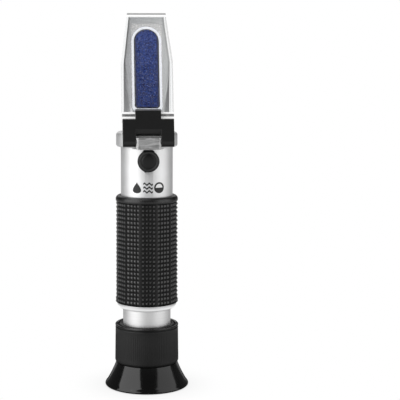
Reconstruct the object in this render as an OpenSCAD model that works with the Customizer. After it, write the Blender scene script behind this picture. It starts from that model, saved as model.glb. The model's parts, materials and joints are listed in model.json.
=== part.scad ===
// Hand-held refractometer for brewing and winemaking.
// It stands on its eyecup. +Z runs up the optical axis to the prism, and -Y is the side with the
// daylight plate, the hinge and the calibration screw. The origin is the centre of the eyecup's rim.
// All sizes are in millimetres.

/* [Overall] */
// Length from the eyecup's rim to the tip of the daylight plate
total_h = 165.5; // [164:0.5:168]
// Radius of the bare aluminium tube
tube_r = 11.45; // [11.4:0.05:11.6]
// Radius over the tips of the rubber grip
grip_r = 13.8; // [13.6:0.1:14.2]

/* [Eyepiece] */
// Height of the conical eyecup
cup_h = 10.6; // [9.5:0.1:10.6]
// Radius of the eyecup's rim
cup_r = 18.75; // [17:0.25:20]
// Height of the focus sleeve's top rim
sleeve_top = 27.8; // [27.6:0.1:28.2]
// Radius of the focus sleeve
sleeve_r = 14.15; // [14:0.05:14.5]
// Radius of the neck that the eyepiece screws along
neck_r = 10.65; // [10.6:0.05:10.7]

/* [Body] */
// Height of the lower face of the tube's flange
flange_z = 35.4; // [35:0.1:35.6]
// Height of the grip's lower end
grip_z = 38.2; // [37.8:0.1:38.6]
// Height of the grip's upper end
grip_top = 86.2; // [80:0.2:88]
// Rows of studs moulded round the grip
grip_rows = 24; // [16:1:28]
// Height of the joint between the tube and the prism head
head_z = 107.3; // [107:0.1:107.5]
// Height of the calibration screw
screw_z = 102.2; // [101.8:0.1:102.6]

/* [Prism head] */
// Radius of the collar that carries the hinge
collar_r = 13.5; // [13.2:0.1:13.8]
// Height of the collar
collar_h = 6.85; // [6.6:0.05:7]
// Radius of the nose that holds the prism
nose_r = 10; // [9.9:0.05:10.1]
// Angle between the measuring face and the tube's axis
face_angle = 17; // [16:0.25:18]
// Width of the prism's window
prism_w = 10.9; // [10:0.1:11.2]

/* [Daylight plate] */
// Thickness of the plate
plate_t = 2.6; // [2:0.1:3]
// Radius of the hinge pin
pin_r = 0.8; // [0.6:0.05:1]

/* [Hidden] */

$fn = 96;
far = 60;                   // reach of the large cutting blocks
gap = 0.05;                 // radial play between parts that slide or turn

// Main tube and neck
tube_bore = 10.2;
neck_bore = 9.3;
neck_low = 20.4;            // lower end of the neck, inside the eyepiece
neck_high = 44;             // upper end of the neck, screwed into the tube
reticle_seat_z = 39;
reticle_seat_r = 9.7;
reticle_t = 1.5;
flange_r = 13.3;
flange_taper_h = 2.5;       // height of the flange's rounded underside
lip_h = 2.8;                // smooth band at the top of the grip
stud_h = 0.45;              // how far the grip's studs stand out

// Eyepiece barrel
barrel_r = 12.35;
barrel_low = 9.6;
barrel_top = 28;
barrel_step = 14.6;         // below this the barrel narrows into the eyecup
barrel_foot_r = 10.95;
lens_bore = 9.0;
lens_seat_z = 10.6;
lens_bore_top = 15.1;
groove_r = 11.65;
groove_z = 23.6;
groove_h = 1.4;
ring_section = 0.46;        // half thickness of the focus O-ring
bead_r = 0.85;              // bead round the top of the sleeve

// Measuring face: a plane through the axis at face_z, leaning back by face_angle
face_z = 141.8;
plate_gap = 0.35;           // room for the sample under the plate
plate_out = plate_gap + plate_t;
plate_side = 1;             // side walls, at the wide end
plate_end = 0.75;           // end wall at the tip
plate_skirt = 3;
skirt_play = 0.2;
plate_rear = -23.7;         // along the face, from the point where it crosses the axis
plate_tip = (total_h - face_z - plate_out * sin(face_angle)) / cos(face_angle);
nose_tip = plate_tip - plate_end - skirt_play;
nose_back = 2;              // the nose's own axis stands this far behind the optical axis
half_max = nose_r + skirt_play + plate_side;
taper_u = 2.5;              // where the plate and the nose start to narrow
plate_slope = 0.13;
nose_slope = 0.118;
pad_w = 13.6;
pad_top = 20;
prism_r = prism_w / 2;
prism_top = 17.6;
prism_low = -18;
prism_chamfer = 1;
prism_back = 6.6;           // rear plane of the prism
prism_exit_z = 119.5;       // lower face of the prism, square to the axis
seal_w = 1.1;
seal_t = 0.8;

// Hinge
pin_y = -12.9;
pin_z = 110.7;
lug_front = -15.1;
lug_top = 112.5;
lug_half = 5.35;
lug_bevel = 0.9;
lug_fall = 11;              // slope of the lug's top, in degrees
leg_r = 2.3;
leg_in = 5.5;
bracket_half = 11.05;
collar_step = 0.45;         // land between the tube's end and the collar
recess_y = -9;              // flat milled across the front of the collar
pin_u = pin_y * sin(face_angle) + (pin_z - face_z) * cos(face_angle);
pin_n = -pin_y * cos(face_angle) + (pin_z - face_z) * sin(face_angle);
band_low = pin_u + 3.05;    // upper end of the gap between the bracket's legs
band_high = plate_rear - 0.05;
band_in = pin_n - leg_r;
band_out = pin_n + leg_r;
band_bevel = 0.5;
tab_half = 5.5;
tab_top = -19.2;
tongue_half = 9.8;          // tongue on the plate that sits in a pocket in the bracket
tongue_t = 1.3;

// Head spigot and calibration
spigot_r = tube_bore - 0.02;
spigot_bore = 8.9;
spigot_low = 92;
tunnel_z = head_z - 1;      // the light tunnel starts here
tunnel_r = 6.2;
seal_groove_z = 105.7;
seal_groove_r = 9.45;
bush_r = 3.2;
bush_out = -10.3;
bush_in = -7.3;
bush_bore = 1.55;
head_recess_r = 2.4;
head_recess_y = -9.3;
set_screw_z = 97;
set_screw_r = 1;
set_screw_angles = [50, 130];

// Lens carriage: slides along Y between the guide's two cheeks
guide_low = 93;
guide_floor = 94.5;
cheek_in = 6.45;
carriage_half = cheek_in - gap;
carriage_low = guide_floor + gap;
carriage_top = 105.6;
carriage_front = -6;
carriage_back = 6.3;
carriage_round = 8.4;
beam_r = 4.6;
objective_r = 5.25;
objective_z = 100.4;
strip_y = -6.55;            // front of the bimetal strip, where the screw's tip bears
strip_screw_z = 96.4;

// Points of a circular arc, from angle a0 to a1 in n steps
function arc(c, r, a0, a1, n = 8) =
    [for (i = [0:n]) let (a = a0 + (a1 - a0) * i / n) c + r * [cos(a), sin(a)]];

// Quarter of an ellipse, from its lowest point [x, y] out to [x + w, y + h]
function quarter(x, y, w, h) = [for (p = arc([0, 0], 1, -90, 0)) [x + w * p[0], y + h * (1 + p[1])]];

// Turned profile: [radius, height] points round the Z axis
module turned(points) rotate_extrude() polygon(points);

module ring(r_out, r_in, h) difference() {
    cylinder(r = r_out, h = h);
    translate([0, 0, -1]) cylinder(r = r_in, h = h + 2);
}

// Moves to the measuring face: X across it, Y up along it, Z straight out of it
module on_face() translate([0, 0, face_z]) rotate([90 - face_angle, 0, 0]) children();

// A cylinder along Y from y0 to y1 at height z
module along_y(r, y0, y1, z) translate([0, y0, z]) rotate([-90, 0, 0]) cylinder(r = r, h = y1 - y0);

// A cylinder along X, centred on the hinge pin
module along_pin(r, x0, x1) translate([x0, pin_y, pin_z]) rotate([0, 90, 0]) cylinder(r = r, h = x1 - x0);

// Biconvex lens of radius r with a flat seat ground round its edge: the curved part has radius clear
// and bulges out of each face of a disc of thickness t
module biconvex(r, clear, t, bulge) {
    ball = (clear * clear + bulge * bulge) / (2 * bulge);
    sweep = asin(clear / ball);
    turned(concat(
        [for (p = arc([0, ball - bulge], ball, -90, -90 + sweep, 6)) [max(p[0], 0), p[1]]],
        [[r, 0], [r, t]],
        [for (p = arc([0, t - ball + bulge], ball, 90 - sweep, 90, 6)) [max(p[0], 0), p[1]]]
    ));
}

/* ---- Body: tube, grip and neck ---- */

module main_tube() color("gainsboro") difference() {
    turned(concat(
        [[neck_r + gap / 2, flange_z]],
        quarter(neck_r + 0.3, flange_z, flange_r - neck_r - 0.3, flange_taper_h),
        [[flange_r, grip_z - 0.2], [flange_r - 0.2, grip_z], [tube_r, grip_z], [tube_r, head_z],
         [tube_bore, head_z], [tube_bore, neck_high + 0.2], [neck_r + gap / 2, neck_high + 0.2]]
    ));
    along_y(bush_r, -tube_r - 1, 0, screw_z);
    set_screw_holes();
}

module set_screw_holes() for (a = set_screw_angles)
    translate([0, 0, set_screw_z]) rotate([0, 90, a])
        translate([0, 0, spigot_bore - 0.5]) cylinder(r = set_screw_r, h = 4);

module rubber_grip() color("dimgray") {
    pitch = (grip_top - lip_h - grip_z) / grip_rows;
    valley = grip_r - stud_h;
    turned(concat(
        [[tube_r + gap, grip_z]],
        [for (i = [0:grip_rows - 1], up = [0, 1]) [up ? grip_r : valley, grip_z + (i + up / 2) * pitch]],
        [[valley, grip_top - lip_h]],
        arc([grip_r - 1.8, grip_top - 1.8], 1.8, 0, 90),
        [[tube_r + gap, grip_top]]
    ));
}

module neck_tube() color("silver") turned([
    [neck_bore, neck_low], [neck_r - 0.3, neck_low], [neck_r, neck_low + 0.3], [neck_r, neck_high],
    [reticle_seat_r, neck_high], [reticle_seat_r, reticle_seat_z], [neck_bore, reticle_seat_z]
]);

module reticle_glass() color("lightcyan")
    translate([0, 0, reticle_seat_z]) cylinder(r = reticle_seat_r - gap, h = reticle_t);

module reticle_ring() color("black")
    translate([0, 0, reticle_seat_z + reticle_t]) ring(reticle_seat_r - gap / 2, 8.2, 2.4);

module light_baffle() color("black") translate([0, 0, 68]) difference() {
    ring(tube_bore - gap / 2, 6, 5);
    translate([0, 0, 1.2]) cylinder(r = tube_bore - 1.2, h = 5);
}

/* ---- Prism head ---- */

module prism_outline(grow = 0) {
    w = prism_r + grow;
    low = prism_low - grow;
    translate([0, prism_top - prism_r]) circle(r = w);
    polygon([[-w, prism_top - prism_r], [-w, low + prism_chamfer], [-w + prism_chamfer, low],
             [w - prism_chamfer, low], [w, low + prism_chamfer], [w, prism_top - prism_r]]);
}

// The wedge of glass under the measuring face, with play added for its pocket
module prism_wedge(play = 0, proud = 0) intersection() {
    on_face() translate([0, 0, -16]) linear_extrude(16 + proud) prism_outline(play);
    translate([-far / 2, -far, prism_exit_z - play]) cube([far, far + prism_back + play, far]);
}

module nose() difference() {
    translate([0, nose_back, head_z + collar_h - 1]) cylinder(r = nose_r, h = far);
    on_face() translate([-far / 2, -far, 0]) cube([far, 2 * far, far]);
    on_face() translate([-far / 2, nose_tip, -far]) cube([far, far, 2 * far]);
    on_face() for (s = [0, 1]) mirror([s, 0, 0]) translate([0, 0, -far]) linear_extrude(2 * far)
        polygon([[nose_r, taper_u], [nose_r - nose_slope * far, taper_u + far],
                 [far, taper_u + far], [far, taper_u]]);
}

module collar() difference() {
    translate([0, 0, head_z]) turned(concat(
        [[0, 0], [tube_r - 0.15, 0], [tube_r - 0.15, collar_step]],
        arc([collar_r - 0.9, collar_step + 0.9], 0.9, -90, 0),
        arc([collar_r - 1.5, collar_h - 1.5], 1.5, 0, 90),
        [[0, collar_h]]
    ));
    translate([-far / 2, recess_y - far, head_z]) cube([far, far, collar_h + 1]);
}

// Lug between the bracket's legs, with a flat front, bevelled corners and a top that falls to the back
module lug() {
    back = recess_y + 1;
    difference() {
        translate([0, 0, head_z + 0.1]) linear_extrude(lug_top - head_z - 0.1)
            polygon([[-lug_half, back], [-lug_half, lug_front + lug_bevel / 2],
                     [-lug_half + lug_bevel, lug_front], [lug_half - lug_bevel, lug_front],
                     [lug_half, lug_front + lug_bevel / 2], [lug_half, back]]);
        translate([-far / 2, lug_front, lug_top]) rotate([-lug_fall, 0, 0]) cube([far, far, far]);
    }
}

module prism_head() color("silver") difference() {
    union() {
        translate([0, 0, spigot_low]) cylinder(r = spigot_r, h = head_z - spigot_low);
        collar();
        nose();
        lug();
    }
    translate([0, 0, spigot_low - 1]) cylinder(r = spigot_bore, h = tunnel_z - spigot_low + 1);
    translate([0, 0, tunnel_z - 1]) cylinder(r = tunnel_r, h = prism_exit_z - tunnel_z + 1.2);
    translate([0, 0, seal_groove_z]) ring(tube_bore + 1, seal_groove_r, 1);
    prism_wedge(gap, 1);
    on_face() translate([0, 0, -seal_t]) linear_extrude(far / 2) prism_outline(seal_w + gap);
    along_pin(pin_r, -far / 2, far / 2);
    along_y(bush_r, -tube_r - 1, 0, screw_z);
    set_screw_holes();
}

module prism() color("midnightblue") prism_wedge();

module prism_seal() color("white") on_face() translate([0, 0, -seal_t + gap])
    linear_extrude(seal_t - gap) difference() {
        prism_outline(seal_w);
        prism_outline(gap);
    }

module hinge_pin() color("silver") along_pin(pin_r, -bracket_half + 0.1, bracket_half - 0.1);

module head_o_ring() color("black") translate([0, 0, seal_groove_z + 0.5])
    rotate_extrude() translate([seal_groove_r + 0.38, 0]) circle(r = 0.34, $fn = 32);

module head_set_screws() color("dimgray") for (a = set_screw_angles)
    translate([0, 0, set_screw_z]) rotate([0, 90, a]) translate([0, 0, 9]) difference() {
        cylinder(r = set_screw_r, h = 2.1);
        translate([0, 0, 1.3]) cylinder(r = 0.5, h = 2, $fn = 6);
    }

/* ---- Calibration ---- */

module screw_bush() color("goldenrod") difference() {
    along_y(bush_r, bush_out, bush_in, screw_z);
    along_y(bush_bore, bush_out - 1, bush_in + 1, screw_z);
    along_y(head_recess_r, bush_out - 1, head_recess_y, screw_z);
}

module calibration_screw() color("silver") difference() {
    union() {
        along_y(bush_bore - gap, -9.8, strip_y - 0.02, screw_z);
        along_y(head_recess_r - 0.2, -10.5, -9.7, screw_z);
    }
    translate([-3, -11, screw_z - 0.25]) cube([6, 0.95, 0.5]);
}

// Rubber plug over the calibration screw, shaped to sit on the tube
module screw_cap() color("black") {
    dome_r = 4.75;
    front = -14.3;
    tab_z = 4.8;
    difference() {
        union() {
            translate([0, front, screw_z]) rotate([-90, 0, 0]) turned(concat(
                [[0, 0], [dome_r - 1.5, 0.12]],
                arc([dome_r - 1, 1.1], 1, -80, 0),
                [[dome_r, 4], [0, 4]]
            ));
            translate([0, -12.5, screw_z]) rotate([90, 0, 180]) linear_extrude(2)
                polygon([[-4.2, 2], [-2.1, tab_z], [2.1, tab_z], [4.2, 2]]);
        }
        translate([0, 0, screw_z - 10]) cylinder(r = tube_r + gap, h = 20);
    }
    intersection() {
        along_y(bush_r - 0.1, -13, -10.95, screw_z);
        translate([0, 0, screw_z - 10]) cylinder(r = tube_r + 1, h = 20);
    }
}

module carriage_guide() color("black") difference() {
    translate([0, 0, guide_low]) cylinder(r = spigot_bore - 0.02, h = tunnel_z - guide_low);
    translate([-cheek_in, -far / 2, guide_floor]) cube([2 * cheek_in, far, far]);
    translate([0, 0, guide_low - 1]) cylinder(r = objective_r, h = 4);
}

module lens_carriage() color("dimgray") difference() {
    intersection() {
        translate([-carriage_half, carriage_front, carriage_low])
            cube([2 * carriage_half, carriage_back - carriage_front, carriage_top - carriage_low]);
        translate([0, 0, carriage_low]) cylinder(r = carriage_round, h = far);
    }
    translate([0, 0, carriage_low - 1]) cylinder(r = beam_r, h = far);
    translate([0, 0, objective_z]) cylinder(r = objective_r + gap, h = far);
    along_y(0.75, carriage_front - 1, -5, strip_screw_z);
}

module objective_lens() color("lightcyan")
    translate([0, 0, objective_z + 0.02]) biconvex(objective_r, beam_r - 0.1, 1.6, 0.5);

module objective_ring() color("black")
    translate([0, 0, objective_z + 1.65]) ring(objective_r, beam_r, 2);

// Two-metal strip between the screw's tip and the carriage: its foot is fixed, its upper end is free
module bimetal_strip() color("darkgoldenrod") difference() {
    union() {
        translate([-2, strip_y, 95]) cube([4, 0.35, 9.4]);
        translate([-2, strip_y, 95]) cube([4, carriage_front - strip_y, 2.9]);
    }
    along_y(0.8, strip_y - 1, carriage_front + 1, strip_screw_z);
}

module strip_screw() color("silver") {
    along_y(0.75, strip_y - 0.1, -5, strip_screw_z);
    along_y(1.2, strip_y - 0.6, strip_y, strip_screw_z);
}

// Bowed leaf behind the carriage, which holds it against the screw
module return_spring() color("silver") {
    bow_r = 5.8;
    bow_y = 8.65 - bow_r;
    translate([-1.5, bow_y, 100.2]) rotate([90, 0, 90]) linear_extrude(3) difference() {
        circle(r = bow_r);
        circle(r = bow_r - 0.25);
        translate([carriage_back + gap - bow_y - far, -far / 2]) square([far, far]);
    }
}

/* ---- Eyepiece ---- */

module eyepiece_barrel() color("black") turned([
    [8.2, barrel_low], [barrel_foot_r, barrel_low], [barrel_foot_r, barrel_step], [barrel_r, barrel_step],
    [barrel_r, barrel_top - 0.4], [barrel_r - 0.4, barrel_top], [neck_r + gap + 0.02, barrel_top],
    [neck_r + gap + 0.02, groove_z + groove_h], [groove_r, groove_z + groove_h], [groove_r, groove_z],
    [neck_r + gap + 0.02, groove_z], [neck_r + gap + 0.02, lens_bore_top], [lens_bore, lens_bore_top],
    [lens_bore, lens_seat_z], [8.2, lens_seat_z]
]);

module focus_sleeve() color("dimgray") turned(concat(
    [[barrel_r + gap, cup_h + 0.05], [sleeve_r - 0.75, cup_h + 0.05], [sleeve_r - 0.25, cup_h + 0.7],
     [sleeve_r + 0.1, cup_h + 2.4], [sleeve_r - 0.05, sleeve_top - 2.9], [sleeve_r - 0.4, sleeve_top - 2.4]],
    arc([sleeve_r - bead_r, sleeve_top - bead_r], bead_r, -40, 180),
    [[sleeve_r - 2 * bead_r, sleeve_top - 1.6], [barrel_r + gap, sleeve_top - 1.6]]
));

module eyecup() color("black") turned(concat(
    [[17.3, 0.5], [17.6, 0]],
    arc([cup_r - 0.6, 0.6], 0.6, -90, 25),
    [[13.6, cup_h], [barrel_foot_r + 1.15, cup_h], [barrel_foot_r + 1.15, barrel_step - gap],
     [barrel_foot_r + gap, barrel_step - gap], [barrel_foot_r + gap, barrel_low - 0.05],
     [8.6, barrel_low - 0.05], [8.6, barrel_low - 0.9], [11.4, barrel_low - 0.9]]
));

module eye_lens() color("lightcyan")
    translate([0, 0, lens_seat_z + 0.02]) biconvex(lens_bore - gap, 7.5, 1.4, 0.9);

module eye_lens_ring() color("black")
    translate([0, 0, lens_seat_z + 1.45]) ring(lens_bore - gap / 2, 7.6, 2.2);

module focus_o_ring() color("black") translate([0, 0, groove_z + groove_h / 2])
    rotate_extrude() translate([(neck_r + groove_r) / 2, 0]) circle(r = ring_section, $fn = 32);

/* ---- Daylight plate and hinge ---- */

// Outline of the plate: half width w, parallel sides that taper in towards the tip
module plate_outline(w, slope, low, high) {
    tip_w = w - slope * (high - taper_u);
    polygon([[-w, low], [-w, taper_u], [-tip_w, high], [tip_w, high], [w, taper_u], [w, low]]);
}

module daylight_plate() color("azure", 0.4) on_face() difference() {
    union() {
        difference() {
            translate([0, 0, -plate_skirt]) linear_extrude(plate_skirt + plate_out)
                plate_outline(half_max, plate_slope, plate_rear, plate_tip);
            translate([0, 0, plate_gap - far]) linear_extrude(far)
                plate_outline(nose_r + skirt_play, nose_slope, plate_rear - 5, plate_tip - plate_end);
        }
        translate([-pad_w / 2, -18.3, 0.08]) cube([pad_w, pad_top + 18.3, plate_gap]);
        translate([-half_max, plate_rear, plate_out - 1]) cube([2 * half_max, 2.4, 1.5]);
        translate([-tongue_half, plate_rear - 3.3, plate_out - tongue_t]) cube([2 * tongue_half, 4, tongue_t]);
    }
    translate([-tab_half - gap, plate_rear - 5, -far / 2])
        cube([2 * (tab_half + gap), tab_top + gap - plate_rear + 5, far]);
}

// Extrudes an outline drawn in [along the face, out of the face] to a width about the middle
module across(half) translate([-half, 0, 0]) rotate([90, 0, 90]) linear_extrude(2 * half) children();

module hinge_bracket() color("black") difference() {
    on_face() {
        across(bracket_half) polygon(concat(
            [[band_high, band_in], [band_high, band_out - band_bevel], [band_high - band_bevel, band_out],
             [pin_u, band_out]],
            arc([pin_u, pin_n], leg_r, 105, 255, 10),
            [[pin_u, band_in]]
        ));
        across(tab_half) polygon([
            [band_high - 1, plate_gap + 0.3], [tab_top, plate_gap + 0.3], [tab_top, band_out - 1.6],
            [tab_top - 1.1, band_out], [band_high - 1, band_out]
        ]);
    }
    on_face() across(leg_in) polygon([
        [pin_u - 2 * leg_r, band_in - 1], [band_low, band_in - 1], [band_low, band_out - 1.4],
        [band_low + 0.5, band_out - 1], [band_low + 1.8, band_out + 0.01], [pin_u - 2 * leg_r, band_out + 0.01]
    ]);
    on_face() for (s = [0, 1]) mirror([s, 0, 0])
        translate([tab_half, plate_rear - 3.35, plate_out - tongue_t - gap])
            cube([tongue_half + gap - tab_half, 4, tongue_t + 2 * gap]);
    along_pin(pin_r + 0.04, -far / 2, far / 2);
}

main_tube();
rubber_grip();
neck_tube();
reticle_glass();
reticle_ring();
light_baffle();
prism_head();
prism();
prism_seal();
hinge_pin();
head_o_ring();
head_set_screws();
screw_bush();
carriage_guide();
return_spring();
lens_carriage();
objective_lens();
objective_ring();
bimetal_strip();
strip_screw();
calibration_screw();
screw_cap();
focus_o_ring();
eyepiece_barrel();
focus_sleeve();
eyecup();
eye_lens();
eye_lens_ring();
daylight_plate();
hinge_bracket();
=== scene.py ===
"""Hand-held refractometer: looks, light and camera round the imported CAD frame.

Lengths are in millimetres and are turned into metres by MM. The frame is the CAD's own: +Z up the
optical axis, -Y the side with the daylight plate and its hinge, origin at the eyecup's rim.
"""
import json
import math

import bmesh
import bpy
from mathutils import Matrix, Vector


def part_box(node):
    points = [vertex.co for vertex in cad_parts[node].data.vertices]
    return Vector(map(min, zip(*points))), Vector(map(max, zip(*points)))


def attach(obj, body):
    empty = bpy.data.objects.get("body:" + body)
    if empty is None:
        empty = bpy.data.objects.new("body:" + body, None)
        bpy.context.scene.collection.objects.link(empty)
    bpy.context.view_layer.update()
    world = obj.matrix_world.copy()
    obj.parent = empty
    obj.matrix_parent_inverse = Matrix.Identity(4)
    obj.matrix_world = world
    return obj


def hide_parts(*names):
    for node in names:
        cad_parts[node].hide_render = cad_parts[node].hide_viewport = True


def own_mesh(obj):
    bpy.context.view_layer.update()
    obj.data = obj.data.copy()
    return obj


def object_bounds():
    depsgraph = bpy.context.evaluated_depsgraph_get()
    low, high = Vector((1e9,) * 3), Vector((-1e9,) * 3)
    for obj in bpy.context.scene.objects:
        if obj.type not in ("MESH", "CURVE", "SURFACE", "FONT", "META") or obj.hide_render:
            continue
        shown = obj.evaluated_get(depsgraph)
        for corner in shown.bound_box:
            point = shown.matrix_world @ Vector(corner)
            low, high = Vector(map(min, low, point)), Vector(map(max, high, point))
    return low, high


MM = 0.001
TAU = 2 * math.pi

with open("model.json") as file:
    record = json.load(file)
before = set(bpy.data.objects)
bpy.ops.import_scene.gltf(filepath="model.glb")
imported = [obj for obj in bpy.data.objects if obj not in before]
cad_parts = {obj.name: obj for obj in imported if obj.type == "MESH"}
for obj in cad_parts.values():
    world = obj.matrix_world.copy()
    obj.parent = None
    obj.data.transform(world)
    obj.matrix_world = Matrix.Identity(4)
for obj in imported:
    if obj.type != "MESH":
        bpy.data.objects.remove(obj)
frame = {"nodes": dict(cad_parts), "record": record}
cad_low, cad_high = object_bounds()

# Radius of the main tube, at its smooth part
TUBE_R = 11.5

# The measuring face: a plane that crosses the optical axis at FACE_Z and leans back by FACE_ANGLE
FACE_Z = 141.8
FACE_ANGLE = math.radians(17)

# The prism on that face: half its width, and its rounded end's place along the face
PRISM_HALF = 5.45
PRISM_TOP = 17.6

# The nose that carries it: its radius, how far back its axis lies, and how it narrows towards the tip
NOSE_HALF = 10
NOSE_BACK = 2
NOSE_TAPER = 0.118


def box_mm(node):
    """Lowest and highest corner of a CAD node, in millimetres."""
    low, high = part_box(node)
    return low / MM, high / MM


def radius_mm(node):
    """Outer radius of a turned CAD node."""
    return box_mm(node)[1].x


# ---------------------------------------------------------------- materials


class Shader:
    """A node material with a Principled surface and short helpers for its texture nodes."""

    def __init__(self, name, **inputs):
        self.mat = bpy.data.materials.new(name)
        self.mat.use_nodes = True
        self.tree = self.mat.node_tree
        self.bsdf = self.tree.nodes["Principled BSDF"]
        self.out = self.tree.nodes["Material Output"]
        self.where = self.add("ShaderNodeTexCoord").outputs["Object"]
        for key, value in inputs.items():
            self.set(key, value)

    @classmethod
    def on_tree(cls, world):
        """The same helpers on a world's node tree."""
        world.use_nodes = True
        shader = cls.__new__(cls)
        shader.tree = world.node_tree
        return shader

    def add(self, kind, **values):
        """A new node, with its own settings."""
        node = self.tree.nodes.new(kind)
        for key, value in values.items():
            setattr(node, key, value)
        return node

    def link(self, source, target):
        """Joins an output to an input."""
        self.tree.links.new(source, target)

    def plug(self, value, target):
        """Gives an input what it is to hold: another node's output, a colour or a number."""
        if isinstance(value, bpy.types.NodeSocket):
            self.link(value, target)
        elif isinstance(value, (tuple, list)) and len(value) == 3 and target.type == "RGBA":
            target.default_value = (*value, 1)
        else:
            target.default_value = value

    def set(self, key, value):
        """Sets one input of the Principled surface, named with _ for each space."""
        self.plug(value, self.bsdf.inputs[key.replace("_", " ")])

    def scaled(self, x=1.0, y=1.0, z=1.0):
        """Object coordinates in millimetres, stretched by x, y and z."""
        node = self.add("ShaderNodeMapping")
        node.inputs["Scale"].default_value = (x / MM, y / MM, z / MM)
        self.link(self.where, node.inputs["Vector"])
        return node.outputs["Vector"]

    def split(self, vector):
        """The three parts of a vector, as outputs."""
        node = self.add("ShaderNodeSeparateXYZ")
        self.link(vector, node.inputs[0])
        return node.outputs

    def normal(self):
        """The three parts of the surface normal."""
        return self.split(self.add("ShaderNodeNewGeometry").outputs["Normal"])

    def noise(self, scale, detail=3.0, rough=0.5, stretch=(1, 1, 1)):
        """Cloudy noise, with scale in features to a millimetre."""
        node = self.add("ShaderNodeTexNoise")
        node.inputs["Scale"].default_value = scale
        node.inputs["Detail"].default_value = detail
        node.inputs["Roughness"].default_value = rough
        self.link(self.scaled(*stretch), node.inputs["Vector"])
        return node.outputs["Fac"]

    def on_face(self):
        """Places across and along the measuring face, in millimetres."""
        x, y, z = self.split(self.scaled())
        rise = self.math("MULTIPLY", self.math("SUBTRACT", z, FACE_Z), math.cos(FACE_ANGLE))
        lean = self.math("MULTIPLY", y, math.sin(FACE_ANGLE))
        return x, self.math("ADD", rise, lean)

    def remap(self, value, low, high, to_low=0.0, to_high=1.0):
        """Value carried in a straight line from one range to another, and held at its ends."""
        node = self.add("ShaderNodeMapRange")
        for key, number in zip(("From Min", "From Max", "To Min", "To Max"), (low, high, to_low, to_high)):
            node.inputs[key].default_value = number
        self.link(value, node.inputs["Value"])
        return node.outputs["Result"]

    def mix(self, factor, a, b):
        """A colour between a, at factor 0, and b, at factor 1."""
        node = self.add("ShaderNodeMix", data_type="RGBA")
        self.link(factor, node.inputs["Factor"])
        self.plug(a, node.inputs["A"])
        self.plug(b, node.inputs["B"])
        return node.outputs["Result"]

    def math(self, operation, a, b=0.0):
        """One sum on outputs or numbers."""
        node = self.add("ShaderNodeMath", operation=operation)
        self.plug(a, node.inputs[0])
        self.plug(b, node.inputs[1])
        return node.outputs[0]

    def hypot(self, a, b):
        """The length whose two sides are a and b."""
        squares = self.math("ADD", self.math("MULTIPLY", a, a), self.math("MULTIPLY", b, b))
        return self.math("SQRT", squares)

    def clear(self, tint=(1, 1, 1)):
        """A surface that light passes unbent."""
        node = self.add("ShaderNodeBsdfTransparent")
        node.inputs["Color"].default_value = (*tint, 1)
        return node.outputs[0]

    def finish(self, factor, first, second):
        """Makes the material's surface a mixture of two: the first at factor 0, the second at 1."""
        node = self.add("ShaderNodeMixShader")
        self.plug(factor, node.inputs[0])
        self.link(first, node.inputs[1])
        self.link(second, node.inputs[2])
        self.link(node.outputs[0], self.out.inputs["Surface"])

    def bump(self, height, depth_mm):
        """Shades the surface as if it rose by depth_mm where height is 1."""
        node = self.add("ShaderNodeBump")
        node.inputs["Distance"].default_value = depth_mm * MM
        self.link(height, node.inputs["Height"])
        self.link(node.outputs["Normal"], self.bsdf.inputs["Normal"])

    def painted_edge_highlight(self, base, edge, reach_mm, amount):
        """Paints a highlight: mixes a paler edge colour in where the surface is convex, broken up by noise.
        """
        bevel = self.add("ShaderNodeBevel", samples=4)
        bevel.inputs["Radius"].default_value = reach_mm * MM
        geometry = self.add("ShaderNodeNewGeometry")
        dot = self.add("ShaderNodeVectorMath", operation="DOT_PRODUCT")
        self.link(bevel.outputs["Normal"], dot.inputs[0])
        self.link(geometry.outputs["Normal"], dot.inputs[1])
        edge_mask = self.remap(dot.outputs["Value"], 1.0, 0.85, 0.0, amount)
        broken = self.math("MULTIPLY", edge_mask, self.remap(self.noise(1.5), 0.35, 0.65))
        return self.mix(broken, base, edge)


def grey(v, tint=(1, 1, 1)):
    """A colour of one brightness, with an optional tint."""
    return tuple(v * t for t in tint)


def satin_aluminium():
    """Bead-blasted and anodised: an even fine grain, slightly cloudy. The rounded underside of the flange
    below the grip glows a little: painted light standing in for what a white table would throw up onto it."""
    s = Shader("satin_aluminium", Metallic=1.0)
    grain = s.noise(3.5, 3, 0.6)
    cloud = s.noise(0.12, 2)
    s.set("Base_Color", s.mix(s.remap(cloud, 0.35, 0.65), grey(0.80), grey(0.85, (0.995, 1, 1.005))))
    s.set("Roughness", s.remap(grain, 0.3, 0.7, 0.44, 0.50))
    s.bump(grain, 0.003)
    up = s.normal()[2]
    underside = s.math("MULTIPLY", s.remap(up, -0.1, -0.45), s.remap(up, -0.9, -0.66, 0.0, 0.6))
    grip_foot = box_mm("rubber_grip")[0].z
    below_grip = s.remap(s.split(s.scaled())[2], grip_foot, grip_foot - 0.1)
    # Painted light: the flange's rounded underside below the grip glows, in place of light thrown up from a
    # white table.
    s.set("Emission_Color", grey(1.0))
    s.set("Emission_Strength", s.math("MULTIPLY", underside, below_grip))
    return s.mat


def brushed_aluminium():
    """Milled aluminium: fine lines across the part, with a few deeper ones."""
    s = Shader("brushed_aluminium", Metallic=1.0)
    lines = s.noise(0.9, 5, 0.75, (0.2, 3, 3))
    cloud = s.noise(0.25, 3)
    tone = s.mix(s.remap(cloud, 0.35, 0.65), grey(0.20), grey(0.29))
    s.set("Base_Color", s.mix(s.remap(lines, 0.42, 0.60), tone, grey(0.54)))
    s.set("Roughness", s.remap(lines, 0.3, 0.7, 0.28, 0.46))
    s.bump(lines, 0.012)
    return s.mat


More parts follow.
